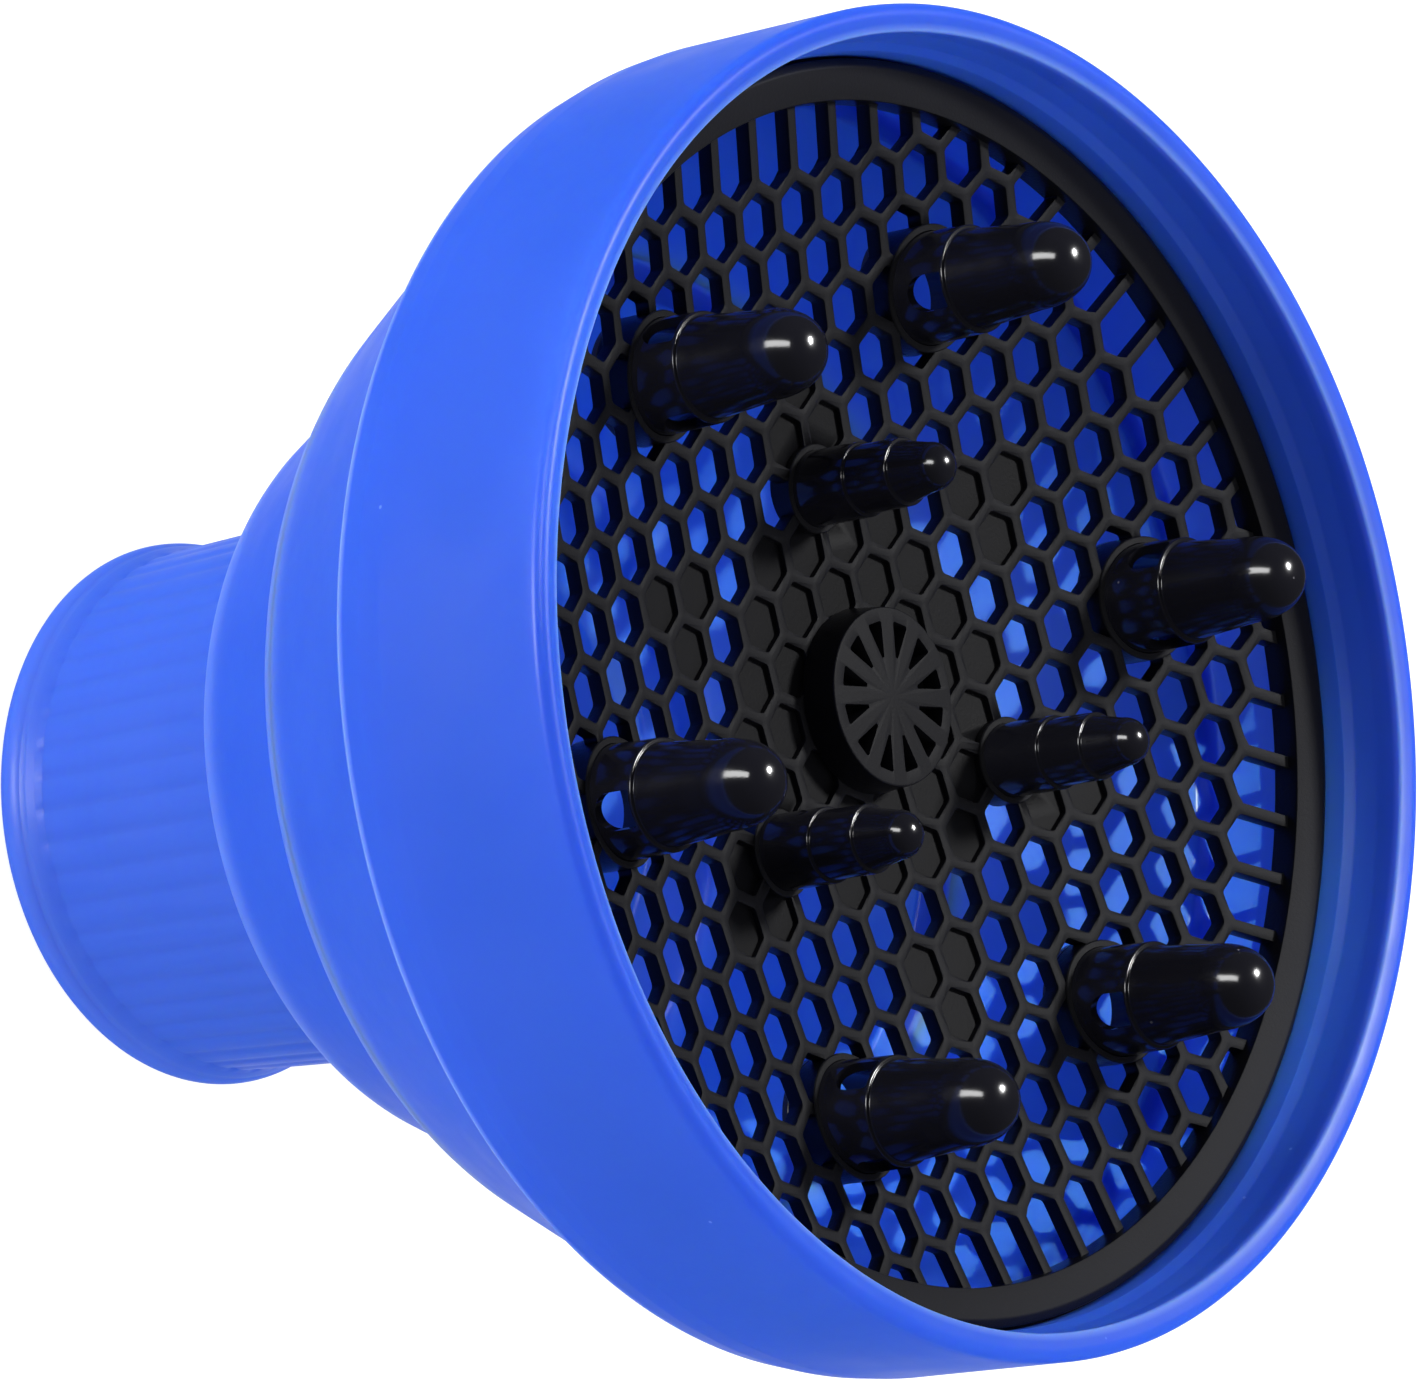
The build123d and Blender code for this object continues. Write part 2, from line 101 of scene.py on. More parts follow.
# How the ring sits in the bowl: drops are measured from the ring's face
MOUTH_RADIUS = 72.2
LIP_RADIUS = 71.4
GROOVE_RADIUS = 73.1
LEDGE_RADIUS = 68.8
FLANGE_RADIUS = 73.0
FLANGE_DROP = 1.9
FLANGE_BACK_DROP = 3.3
RING_BACK_DROP = 4.6
RING_BACK_RADIUS = 68.4
RING_RADIUS = 71.0
RING_INNER = 66.4
RING_COLUMNS = 360

# The honeycomb plate
DISH_SPHERE = 266.0
PITCH = 7.06
RIB = 1.4
CELL = (PITCH - RIB) / math.sqrt(3)
CORNER = PITCH / math.sqrt(3)
LAST_ROW = 10
LAST_ROW_REACH = 9.0
SMALLEST_HOLE = 0.5
BLIND_ROWS = 3
BLIND_DEPTH = 0.7
CELL_ROUNDING = 0.6
FRONT_BEVEL = 0.09
FRONT_SHOULDER = 0.03
REAR_BEVEL = 0.1
PLATE_EDGE = RING_INNER + 0.25

# The fingers' sockets: radius of the hole in the plate, outer and inner radius of the tube, and
# how far its foot drops below the ring's face
SOCKETS = {
    "large_finger": (6.8, 7.2, 6.46, 9.9),
    "small_finger": (4.64, 5.0, 4.32, 12.2),
}
SOCKET_RISE = 0.2
SOCKET_COLUMNS = 48

# The fingers, whose feet drop below the ring's face
FINGER_COLUMNS = 96
FINGER_STEP = 1.5
LARGE_FOOT_DROP = 10.9
LARGE_SHOULDER = RING_FACE + 0.5
LARGE_NOSE_RADIUS = 4.95
LARGE_NOSE_LENGTH = 7.2
LARGE_NOSE_POWER = 2 / 2.3
SMALL_FOOT_DROP = 12.2
SMALL_NOSE_RADIUS = 2.75
WINDOW_COUNT = 3
WINDOW_WIDTH = 4.2
WINDOW_HEIGHT = 4.9

# The rosette's spokes, and how deep the pockets between them are
SPOKES = 12
POCKET_DEPTH = 2.4

# Metres
LAMP_DISTANCE = 0.9
FLOOR_HALF_WIDTH = 4.0
FLOOR_DROP = 0.0006


# ------------------------------------------------------------------------------------ mesh tools


def make_object(name, vertices, faces, material, sharp=40.0):
    """An object in metres from vertices in millimetres, smooth but for its sharper edges."""
    mesh = bpy.data.meshes.new(name)
    mesh.from_pydata([tuple(c * MM for c in v) for v in vertices], [], faces)
    work = bmesh.new()
    work.from_mesh(mesh)
    bmesh.ops.remove_doubles(work, verts=work.verts, dist=MERGE_DISTANCE * MM)
    bmesh.ops.recalc_face_normals(work, faces=work.faces)
    work.to_mesh(mesh)
    work.free()
    mesh.shade_smooth()
    mesh.set_sharp_from_angle(angle=math.radians(sharp))
    mesh.materials.append(material)
    made = bpy.data.objects.new(name, mesh)
    bpy.context.scene.collection.objects.link(made)
    return made


def arc(centre, radius, start, end, steps):
    """Points of an arc in the half section, between two angles."""
    r, z = centre
    angles = [math.radians(start + (end - start) * k / steps) for k in range(steps + 1)]
    return [(r + radius * math.cos(a), z + radius * math.sin(a)) for a in angles]


def rounded(points, closed=False, steps=6):
    """A polyline of (x, y, radius) with each corner turned by an arc, if its runs have room."""
    made = []
    count = len(points)
    run_share, end_run_share = 0.49, 0.98
    for k, (x, y, radius) in enumerate(points):
        here = Vector((x, y))
        if radius == 0 or (not closed and k in (0, count - 1)):
            made.append((x, y))
            continue
        before = Vector(points[k - 1][:2]) - here
        after = Vector(points[(k + 1) % count][:2]) - here
        half = before.angle(after) / 2
        room_before = before.length * (end_run_share if k == 1 and not closed else run_share)
        room_after = after.length * (end_run_share if k == count - 2 and not closed else run_share)
        reach = min(radius / math.tan(half), room_before, room_after)
        size = reach * math.tan(half)
        inwards = (before.normalized() + after.normalized()).normalized()
        middle = here + inwards * (size / math.sin(half))
        first = here + before.normalized() * reach - middle
        last = here + after.normalized() * reach - middle
        turn = first.angle_signed(last)
        for step in range(steps + 1):
            angle = -turn * step / steps
            x2 = first.x * math.cos(angle) - first.y * math.sin(angle)
            y2 = first.x * math.sin(angle) + first.y * math.cos(angle)
            made.append((middle.x + x2, middle.y + y2))
    return made


def divided(points, step):
    """The same polyline with its long runs cut to at most a step."""
    made = [points[0]]
    for a, b in zip(points, points[1:]):
        parts = max(1, math.ceil(math.dist(a, b) / step))
        for k in range(1, parts + 1):
            made.append((a[0] + (b[0] - a[0]) * k / parts, a[1] + (b[1] - a[1]) * k / parts))
    return made


def lathe(section, columns, centre=(0.0, 0.0), closed=True, shape=None):
    """Vertices and faces of a section of (r, z) turned about a vertical line."""
    vertices = []
    for k in range(columns):
        angle = 2 * math.pi * k / columns
        for r, z in section:
            if shape:
                r, z = shape(r, z, angle)
            vertices.append((centre[0] + r * math.cos(angle), centre[1] + r * math.sin(angle), z))
    size = len(section)
    faces = []
    for k in range(columns):
        here, there = k * size, (k + 1) % columns * size
        for i in range(size if closed else size - 1):
            j = (i + 1) % size
            if section[i][0] > 0 or section[j][0] > 0:
                faces.append((here + i, there + i, there + j, here + j))
    return vertices, faces


def prism(outline, low, high, place):
    """A closed bar with a flat outline, whose points and ends are put in place by a function."""
    vertices = [place(x, y, reach) for reach in (low, high) for x, y in outline]
    count = len(outline)
    faces = [(i, (i + 1) % count, count + (i + 1) % count, count + i) for i in range(count)]
    faces += [tuple(range(count)), tuple(range(2 * count - 1, count - 1, -1))]
    return vertices, faces


def joined(*parts):
    """The vertices and faces of several meshes as one."""
    vertices, faces = [], []
    for more_vertices, more_faces in parts:
        shift = len(vertices)
        vertices += more_vertices
        faces += [tuple(i + shift for i in face) for face in more_faces]
    return vertices, faces


def apply_modifiers(made):
    """Puts the mesh that an object's modifiers give in its place."""
    bpy.context.view_layer.update()
    evaluated = made.evaluated_get(bpy.context.evaluated_depsgraph_get())
    mesh = bpy.data.meshes.new_from_object(evaluated)
    made.modifiers.clear()
    made.data = mesh


def smooth(made, sharp):
    """Smooth shading but for edges sharper than an angle in degrees."""
    made.data.shade_smooth()
    made.data.set_sharp_from_angle(angle=math.radians(sharp))


def cut(made, cutters):
    """Cuts closed meshes out of another with boolean modifiers, and removes them."""
    for cutter in cutters:
        modifier = made.modifiers.new("cut", "BOOLEAN")
        modifier.operation = "DIFFERENCE"
        modifier.solver = "MANIFOLD"
        modifier.object = cutter
    apply_modifiers(made)
    for cutter in cutters:
        bpy.data.objects.remove(cutter)


# -------------------------------------------------------------------------------------- materials


class Nodes:
    """A short way to write a node tree."""

    def __init__(self, name):
        self.material = bpy.data.materials.new(name)
        self.material.use_nodes = True
        self.tree = self.material.node_tree
        self.shader = self.tree.nodes["Principled BSDF"]
        coordinates = self.tree.nodes.new("ShaderNodeTexCoord")
        self.place = coordinates.outputs["Object"]
        self.normal = coordinates.outputs["Normal"]

    def add(self, kind, **values):
        node = self.tree.nodes.new(kind)
        for key, value in values.items():
            if hasattr(node, key) and key not in node.inputs:
                setattr(node, key, value)
            else:
                self.feed(node.inputs[key], value)
        return node

    def feed(self, socket, value):
        if isinstance(value, bpy.types.NodeSocket):
            self.tree.links.new(value, socket)
        else:
            socket.default_value = value

    def noise(self, scale, detail=3.0, roughness=0.5):
        settings = {"Scale": scale, "Detail": detail, "Roughness": roughness}
        return self.add("ShaderNodeTexNoise", Vector=self.place, **settings).outputs["Fac"]

    def ramp(self, value, low, high, to_low=0.0, to_high=1.0):
        """Maps a value's range to another, and holds it at the ends."""
        node = self.add("ShaderNodeMapRange")
        for socket, number in zip(node.inputs[1:5], (low, high, to_low, to_high)):
            socket.default_value = number
        self.feed(node.inputs[0], value)
        return node.outputs[0]

    def math(self, operation, *values):
        node = self.add("ShaderNodeMath", operation=operation)
        for socket, value in zip(node.inputs, values):
            self.feed(socket, value)
        return node.outputs[0]

    def mix(self, factor, a, b):
        node = self.add("ShaderNodeMix", data_type="RGBA")
        self.feed(node.inputs[0], factor)
        self.feed(node.inputs[6], a)
        self.feed(node.inputs[7], b)
        return node.outputs[2]

    def attribute(self, name):
        return self.add("ShaderNodeAttribute", attribute_name=name).outputs["Fac"]

    def bump(self, height, distance, strength=1.0, normal=None):
        node = self.add("ShaderNodeBump", Height=height, Distance=distance, Strength=strength)
        if normal is not None:
            self.feed(node.inputs["Normal"], normal)
        return node.outputs["Normal"]

    def set(self, **values):
        for key, value in values.items():
            self.feed(self.shader.inputs[key.replace("_", " ")], value)


def specks(nodes, scale, share, size):
    """Sparse small dots: 1 on a dot and 0 elsewhere."""
    cells = nodes.add("ShaderNodeTexVoronoi", Vector=nodes.place, Scale=scale)
    colour = nodes.add("ShaderNodeSeparateColor", Color=cells.outputs["Color"])
    chosen = nodes.math("LESS_THAN", colour.outputs[0], share)
    near = nodes.ramp(cells.outputs["Distance"], size, size * 0.5)
    return nodes.math("MULTIPLY", chosen, near)


def silicone():
    nodes = Nodes("blue_silicone")
    cloud = nodes.noise(28.0, 3.0)
    base = nodes.mix(cloud, (0.020, 0.086, 0.54, 1), (0.029, 0.104, 0.62, 1))
    # Painted highlight on the fold lips and the bead, and painted light that makes the neck paler
    base = nodes.mix(nodes.attribute("lip"), base, (0.095, 0.185, 0.64, 1))
    # Painted highlight along the ridge at the bowl's foot and along the rim's inner edge
    base = nodes.mix(nodes.attribute("ridge_highlight"), base, (0.19, 0.30, 0.70, 1))
    dust = specks(nodes, 260.0, 0.04, 0.07)
    lint = specks(nodes, 90.0, 0.05, 0.04)
    dots = nodes.math("MAXIMUM", dust, lint)
    base = nodes.mix(nodes.math("MULTIPLY", dots, 0.45), base, (0.32, 0.45, 0.95, 1))
    fine = nodes.noise(1500.0, 2.0)
    wide = nodes.noise(120.0, 3.0)
    rough = nodes.ramp(wide, 0.3, 0.7, 0.34, 0.44)
    normal = nodes.bump(fine, 0.00002, 0.5)
    normal = nodes.bump(wide, 0.0001, 0.2, normal)
    nodes.set(Base_Color=base, Roughness=rough, Normal=normal, IOR=1.41)
    nodes.set(Subsurface_Weight=0.85, Subsurface_Scale=0.005, Subsurface_Radius=(0.12, 0.4, 1.0))
    return nodes.material


def painted_recess_shade(nodes):
    """1 on faces below the grille's dished front, such as the floors of its closed cells, which get
    painted shade.
    """
    axes = nodes.add("ShaderNodeSeparateXYZ", Vector=nodes.place)
    across = nodes.math("MULTIPLY", axes.outputs[0], axes.outputs[0])
    across = nodes.math("MULTIPLY_ADD", axes.outputs[1], axes.outputs[1], across)
    rise = nodes.math("SQRT", nodes.math("SUBTRACT", (DISH_SPHERE * MM) ** 2, across))
    level = nodes.math("SUBTRACT", (DISH_FLOOR + DISH_SPHERE) * MM, rise)
    depth = nodes.math("SUBTRACT", level, axes.outputs[2])
    return nodes.ramp(depth, 0.0003, 0.0006)


def grille_plastic():
    nodes = Nodes("matte_black_plastic")
    axes = nodes.add("ShaderNodeSeparateXYZ", Vector=nodes.normal)
    facing = nodes.ramp(nodes.math("ABSOLUTE", axes.outputs[2]), 0.55, 0.9)
    grain = nodes.noise(2600.0, 3.0, 0.7)
    cloud = nodes.noise(60.0, 2.0)
    face = nodes.mix(cloud, (0.006, 0.006, 0.0078, 1), (0.009, 0.009, 0.0112, 1))
    face = nodes.mix(nodes.ramp(grain, 0.62, 0.75, 0.0, 0.5), face, (0.025, 0.025, 0.029, 1))
    # Painted shade on the floors of the closed cells and other sunken faces
    face = nodes.mix(painted_recess_shade(nodes), face, (0.0035, 0.0035, 0.0048, 1))
    base = nodes.mix(facing, (0.003, 0.003, 0.004, 1), face)
    rough = nodes.ramp(facing, 0.0, 1.0, 0.3, 0.6)
    normal = nodes.bump(grain, 0.00006, 0.6)
    nodes.set(Base_Color=base, Roughness=rough, Normal=normal, Specular_IOR_Level=0.25)
    return nodes.material


def finger_plastic():
    nodes = Nodes("glossy_black_plastic")
    smear = nodes.noise(140.0, 4.0, 0.6)
    fine = nodes.noise(1800.0, 2.0)
    dust = specks(nodes, 420.0, 0.05, 0.08)
    base = nodes.mix(dust, (0.003, 0.003, 0.0045, 1), (0.05, 0.05, 0.055, 1))
    rough = nodes.ramp(smear, 0.35, 0.7, 0.13, 0.19)
    normal = nodes.bump(fine, 0.000012, 0.4)
    normal = nodes.bump(smear, 0.0001, 0.1, normal)
    nodes.set(Base_Color=base, Roughness=rough, Normal=normal, IOR=1.5)
    return nodes.material


SILICONE = silicone()
GRILLE = grille_plastic()
FINGER = finger_plastic()


# ------------------------------------------------------------------------------- the silicone bell


def large_side(z):
    """Outer radius of the large fold's straight side."""
    share = (z - CREASE) / (BOWL_FLOOR - CREASE)
    return LARGE_FOLD_FOOT + (LARGE_FOLD_TOP - LARGE_FOLD_FOOT) * share


def small_side(z):
    """Outer radius of the small fold's straight side."""
    share = (z - NECK_TOP) / (CREASE - NECK_TOP)
    return SMALL_FOLD_FOOT + (SMALL_FOLD_TOP - SMALL_FOLD_FOOT) * share


def neck_radius(z):
    return NECK_MOUTH + NECK_WIDENING * z / NECK_TOP


def neck_ribs(r, z, angle):
    """Broad flats with shallow grooves between them, rounded off at the bead end."""
    on_outside = NECK_MOUTH - 0.9 <= r <= NECK_MOUTH + 1.9
    if not on_outside or not RIB_START - 1.0 < z < NECK_TOP:
        return r, z
    wave = (1 + math.cos(RIB_COUNT * angle)) / 2
    end = RIB_START + 1.2 * (1 - wave)
    fade = min(1.0, max(0.0, (z - end + 0.6) / 0.6), (NECK_TOP - z) / 3.0)
    fade = fade * fade * (3 - 2 * fade)
    return r - RIB_GROOVE * fade * wave**2.5, z


def mark_painted_light(made, name, spread, *spots):
    """Stores how near each vertex lies to (r, z, weight) spots, where painted light makes the
    silicone paler.
    """
    marks = made.data.attributes.new(name, "FLOAT", "POINT")
    for vertex, mark in zip(made.data.vertices, marks.data):
        here = (vertex.co.xy.length / MM, vertex.co.z / MM)
        gaps = [(math.dist(here, spot) / spread, weight) for *spot, weight in spots]
        mark.value = max(weight * math.exp(-(gap**2)) for gap, weight in gaps)


def bell_skin(name, section, shape=None):
    """A skin of silicone turned from its closed section."""
    vertices, faces = lathe(divided(section, BELL_STEP), BELL_COLUMNS, shape=shape)
    return make_object(name, vertices, faces, SILICONE, 50)


def lower_bell():
    """Neck, small fold and crease ring: one skin from the neck to the fold ring, drawn at rest."""
    bead_join = arc((BEAD_CENTRE, BEAD_RADIUS), BEAD_RADIUS, BEAD_TURN + 1, 0, 1)[0]
    outer = rounded(
        [
            (large_side(SEAM), SEAM, 0),
            (LARGE_FOLD_FOOT, CREASE, LIP_ROUNDING),
            (SMALL_FOLD_TOP + 0.1, CREASE - 0.3, 0.4),
            (SMALL_FOLD_FOOT, NECK_TOP, LIP_ROUNDING),
            (neck_radius(NECK_TOP) + 0.2, NECK_TOP, 0.8),
            (neck_radius(7.2), 7.2, 1.4),
            (NECK_MOUTH + 0.5, 6.1, 1.6),
            (NECK_MOUTH + 0.85, 5.0, 1.6),
            (*bead_join, 0),
        ]
    )
    bead = arc((BEAD_CENTRE, BEAD_RADIUS), BEAD_RADIUS, BEAD_TURN, -90, 20)
    inner = rounded(
        [
            (BEAD_CENTRE - 0.8, 0, 0.3),
            (BORE, 0.6, 0.5),
            (BORE, NECK_TOP, 1.5),
            (BORE + WALL, NECK_TOP + WALL, 1.5),
            (small_side(NECK_TOP + WALL) - WALL * 1.1, NECK_TOP + WALL, 1.5),
            (SMALL_FOLD_TOP - WALL * 1.1, CREASE + WALL, 0.8),
            (large_side(CREASE + WALL) - WALL * 1.15, CREASE + WALL, 0.8),
            (large_side(SEAM) - WALL * 1.15, SEAM, 0),
        ]
    )
    made = bell_skin("bell_neck_and_small_fold", outer + bead + inner, neck_ribs)
    # Painted highlights on the fold lips and the bead, and painted light all along the neck
    lip_highlights = [(SMALL_FOLD_FOOT + 0.8, NECK_TOP + 1.8, 1), (LARGE_FOLD_FOOT + 1.0, CREASE + 1.8, 1)]
    bead_highlight = (BEAD_CENTRE + 2.2, BEAD_RADIUS + 1.0, 0.5)
    neck_painted_light = [(neck_radius(z), z, 0.24) for z in range(6, 45, 2)]
    mark_painted_light(made, "lip", PAINTED_LIGHT_SPREAD, *lip_highlights, bead_highlight, *neck_painted_light)
    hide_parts("neck_sleeve", "small_fold", "crease_ring")
    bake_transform(made)
    return made


def upper_bell():
    """Large fold and bowl: one skin from the fold ring to the bowl, drawn at rest."""
    flange = RING_FACE - FLANGE_DROP
    section = rounded(
        [
            (large_side(SEAM), SEAM, 0),
            (LARGE_FOLD_TOP, BOWL_FLOOR + 0.5, 0.2),
            (73.7, BOWL_FLOOR + 0.1, 0.3),
            (74.3, BOWL_FLOOR + 0.9, 0.35),
            (75.2, BOWL_FLOOR + 4.6, 4.0),
            (RIM, BOWL_FLOOR + 8.0, 6.0),
            (RIM, RIM_TOP, 2.2),
            (MOUTH_RADIUS, RIM_TOP - 0.9, 0.35),
            (MOUTH_RADIUS + 0.4, RIM_TOP - 4.5, 4.0),
            (MOUTH_RADIUS, RING_FACE + 3.0, 1.0),
            (LIP_RADIUS, RING_FACE + 1.8, 0.5),
            (LIP_RADIUS, flange + 0.1, 0.1),
            (GROOVE_RADIUS, flange + 0.1, 0.1),
            (GROOVE_RADIUS, flange - 1.5, 0.1),
            (LEDGE_RADIUS, flange - 1.5, 0.3),
            (LEDGE_RADIUS, flange - 3.3, 0.3),
            (RIM - BOWL_WALL, flange - 6.7, 2.0),
            (RIM - BOWL_WALL, BOWL_FLOOR + BOWL_WALL, 1.9),
            (LARGE_FOLD_TOP - WALL * 1.15, BOWL_FLOOR + BOWL_WALL, 0.8),
            (large_side(SEAM) - WALL * 1.15, SEAM, 0),
        ]
    )
    made = bell_skin("bell_large_fold_and_bowl", section)
    # Painted highlight on the large fold's lip
    mark_painted_light(made, "lip", PAINTED_LIGHT_SPREAD, (LARGE_FOLD_FOOT + 1.0, CREASE + 1.8, 1))
    # Painted highlights on the ridge at the bowl's foot and on the rim's inner edge
    ridge_highlight, rim_edge_highlight = (74.2, BOWL_FLOOR + 0.7, 1), (MOUTH_RADIUS + 0.1, RIM_TOP - 0.9, 0.6)
    mark_painted_light(made, "ridge_highlight", RIDGE_HIGHLIGHT_SPREAD, ridge_highlight, rim_edge_highlight)
    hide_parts("large_fold", "bowl_shell")
    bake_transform(made)
    return made


# -------------------------------------------------------------------- grille, fingers and rosette


def direction(angle):
    """A flat unit vector at an angle in radians."""
    return Vector((math.cos(angle), math.sin(angle)))


def dish(x, y):
    """Height of the grille's front face."""
    return DISH_FLOOR + DISH_SPHERE - math.sqrt(DISH_SPHERE**2 - x * x - y * y)


def cell_centre(i, j):
    """Centre of a cell, where i and j count cells along two sides of the honeycomb."""
    return Vector((PITCH * (i + j / 2), PITCH * j * math.sqrt(3) / 2))


def row_of(i, j):
    """How many rows a cell lies from the centre."""
    return max(abs(i), abs(j), abs(i + j))


def side_angle(centre):
    """Angle in degrees of the side of the honeycomb that a cell lies behind."""
    return 60 * round((math.degrees(math.atan2(centre.y, centre.x)) - 30) / 60) + 30


def is_blind(i, j):
    """Closed cells: the inner rows, and a point of three more cells on each side of them."""
    if row_of(i, j) <= BLIND_ROWS:
        return True
    centre = cell_centre(i, j)
    out = math.radians(side_angle(centre))
    row = round((centre.x * math.cos(out) + centre.y * math.sin(out)) / (PITCH * math.sqrt(3) / 2))
    across = abs(centre.y * math.cos(out) - centre.x * math.sin(out))
    return (row == 5 and across < PITCH) or (row == 6 and across < RIB)


def hexagon(i, j, radius):
    """Corners of a cell, drawn out past the ring in the last row."""
    centre = cell_centre(i, j)
    out = side_angle(centre)
    shift = direction(math.radians(out)) * (LAST_ROW_REACH if row_of(i, j) == LAST_ROW else 0.0)
    corners = []
    for turn in range(-180, 180, 60):
        corner = centre + direction(math.radians(out + turn)) * radius
        corners.append(corner + shift if abs(turn) <= 60 else corner)
    return corners


def clipped(polygon, radius):
    """The part of a convex polygon inside a circle about the centreline, cut by nearby chords."""
    steps, nearby = 720, 50
    angles = [2 * math.pi * k / steps for k in range(steps)]
    ring = [Vector((radius * math.cos(a), radius * math.sin(a))) for a in angles]
    if all(p.length < radius - 1e-6 for p in polygon):
        return polygon
    middle = sum(polygon, Vector((0, 0))) / len(polygon)
    near = round(math.atan2(middle.y, middle.x) / (2 * math.pi) * steps)
    for k in range(near - nearby, near + nearby):
        a, b = ring[k % steps], ring[(k + 1) % steps]
        kept = []
        for p, q in zip(polygon, polygon[1:] + polygon[:1]):
            side_p = (b - a).cross(p - a)
            side_q = (b - a).cross(q - a)
            if side_p >= 0:
                kept.append(p)
            if side_p * side_q < 0:
                kept.append(p + (q - p) * (side_p / (side_p - side_q)))
        polygon = kept
        if len(polygon) < 3:
            return []
    clean = [p for p, q in zip(polygon, polygon[1:] + polygon[:1]) if (p - q).length > 1e-4]
    return clean if len(clean) > 2 else []


def soft_corners(polygon, radius):
    """A closed polygon with each corner rounded off."""
    points = [(p.x, p.y, radius) for p in polygon]
    return [Vector(p) for p in rounded(points, closed=True, steps=3)]


def grown(polygon, amount):
    """A convex polygon moved outwards along its corners' normals."""
    count = len(polygon)
    made = []
    for k in range(count):
        before = (polygon[k] - polygon[k - 1]).normalized()
        after = (polygon[(k + 1) % count] - polygon[k]).normalized()
        normal = Vector((before.y + after.y, -before.x - after.x)).normalized()
        made.append(polygon[k] + normal * amount / max(0.5, math.sqrt((1 + before.dot(after)) / 2)))
    return made


def zipped(outer, inner, centre):
    """Triangles between two loops that both run once round a centre."""
    def by_angle(loop):
        spokes = [p - centre for p in loop]
        ranked = [(math.atan2(p.y, p.x) % (2 * math.pi), k) for k, p in enumerate(spokes)]
        first = min(range(len(loop)), key=lambda k: ranked[k][0])
        return [ranked[(first + k) % len(loop)] for k in range(len(loop))]

    a, b = by_angle(outer), by_angle(inner)
    i = j = 0
    triangles = []
    while i < len(a) or j < len(b):
        next_a = a[(i + 1) % len(a)][0] + (2 * math.pi if i + 1 >= len(a) else 0)
        next_b = b[(j + 1) % len(b)][0] + (2 * math.pi if j + 1 >= len(b) else 0)
        here_a, here_b = ("a", a[i % len(a)][1]), ("b", b[j % len(b)][1])
        if j >= len(b) or (i < len(a) and next_a <= next_b):
            triangles.append((here_a, ("a", a[(i + 1) % len(a)][1]), here_b))
            i += 1
        else:
            triangles.append((here_a, ("b", b[(j + 1) % len(b)][1]), here_b))
            j += 1
    return triangles


class Plate:
    """Gathers the honeycomb plate's faces, whose heights are measured from the dish."""

    def __init__(self):
        self.vertices = []
        self.faces = []

    def loop(self, polygon, depth):
        """Adds a polygon's corners at a depth below the dish, and returns their numbers."""
        start = len(self.vertices)
        self.vertices += [(p.x, p.y, dish(p.x, p.y) - depth) for p in polygon]
        return list(range(start, len(self.vertices)))

    def wall(self, upper, lower):
        """Faces between two loops with the same number of corners."""
        count = len(upper)
        for k in range(count):
            n = (k + 1) % count
            self.faces.append((upper[k], upper[n], lower[n], lower[k]))

    def frame(self, outer, inner, centre, outer_loop, inner_loop):
        """Faces between two polygons, one inside the other, whose loops are given."""
        for triangle in zipped(outer, inner, centre):
            corners = [(outer_loop if side == "a" else inner_loop)[k] for side, k in triangle]
            self.faces.append(tuple(corners))

    def cell(self, i, j):
        """One cell and the half ribs round it, cut off at the plate's edge."""
        land = clipped(hexagon(i, j, CORNER), PLATE_EDGE)
        if not land:
            return
        hole = clipped(hexagon(i, j, CELL), RING_INNER)
        front, back = self.loop(land, 0), self.loop(land, WALL)
        widths = [(p - q).length for p, q in zip(hole, hole[2:] + hole[:2])]
        if len(hole) < 3 or min(widths) < SMALLEST_HOLE:
            self.faces.append(tuple(front))
            self.faces.append(tuple(reversed(back)))
        else:
            self.opening(land, hole, front, back, is_blind(i, j))
        for k, p in enumerate(land):
            n = (k + 1) % len(land)
            if min(p.length, land[n].length) > PLATE_EDGE - 0.01:
                self.faces.append((front[k], front[n], back[n], back[k]))

    def opening(self, land, hole, front, back, blind):
        """A hole with bevelled edges through the plate, or a shallow pocket if it is blind."""
        hole = soft_corners(hole, CELL_ROUNDING)
        centre = sum(hole, Vector((0, 0))) / len(hole)
        lip = grown(hole, FRONT_BEVEL)
        top = self.loop(lip, 0)
        shoulder = self.loop(grown(hole, FRONT_SHOULDER), FRONT_SHOULDER)
        edge = self.loop(hole, FRONT_BEVEL)
        self.frame(land, lip, centre, front, top)
        self.wall(top, shoulder)
        self.wall(shoulder, edge)
        if blind:
            foot = self.loop(hole, BLIND_DEPTH)
            self.wall(edge, foot)
            self.faces.append(tuple(foot))
            self.faces.append(tuple(reversed(back)))
        else:
            low = self.loop(hole, WALL - REAR_BEVEL)
            rear_lip = grown(hole, REAR_BEVEL)
            rear = self.loop(rear_lip, WALL)
            self.wall(edge, low)
            self.wall(low, rear)
            self.frame(land, rear_lip, centre, back, rear)


def tube(centre, outer, inner, low):
    """A socket ring round a finger, whose top stands proud of the dish all round."""
    def shape(r, z, angle):
        if z > 0:
            x, y = centre[0] + r * math.cos(angle), centre[1] + r * math.sin(angle)
            return r, dish(x, y) + z
        return r, low

    foot = [(inner, -1.0), (outer, -1.0)]
    top = [(outer, SOCKET_RISE - 0.12), (outer - 0.12, SOCKET_RISE), (inner, SOCKET_RISE)]
    return lathe(foot + top, SOCKET_COLUMNS, centre=centre, shape=shape)


def rod(centre, radius, low, high):
    """A closed cylinder, used as a cutter."""
    section = [(0.0, low), (radius, low), (radius, high), (0.0, high)]
    return lathe(section, SOCKET_COLUMNS, centre=centre, closed=False)


def finger_places(kind):
    """Name and centre of each finger of a kind."""
    names = sorted(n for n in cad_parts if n.startswith(kind))
    boxes = [(name, *box_mm(name)) for name in names]
    return [(name, (low.x + high.x) / 2, (low.y + high.y) / 2) for name, low, high in boxes]


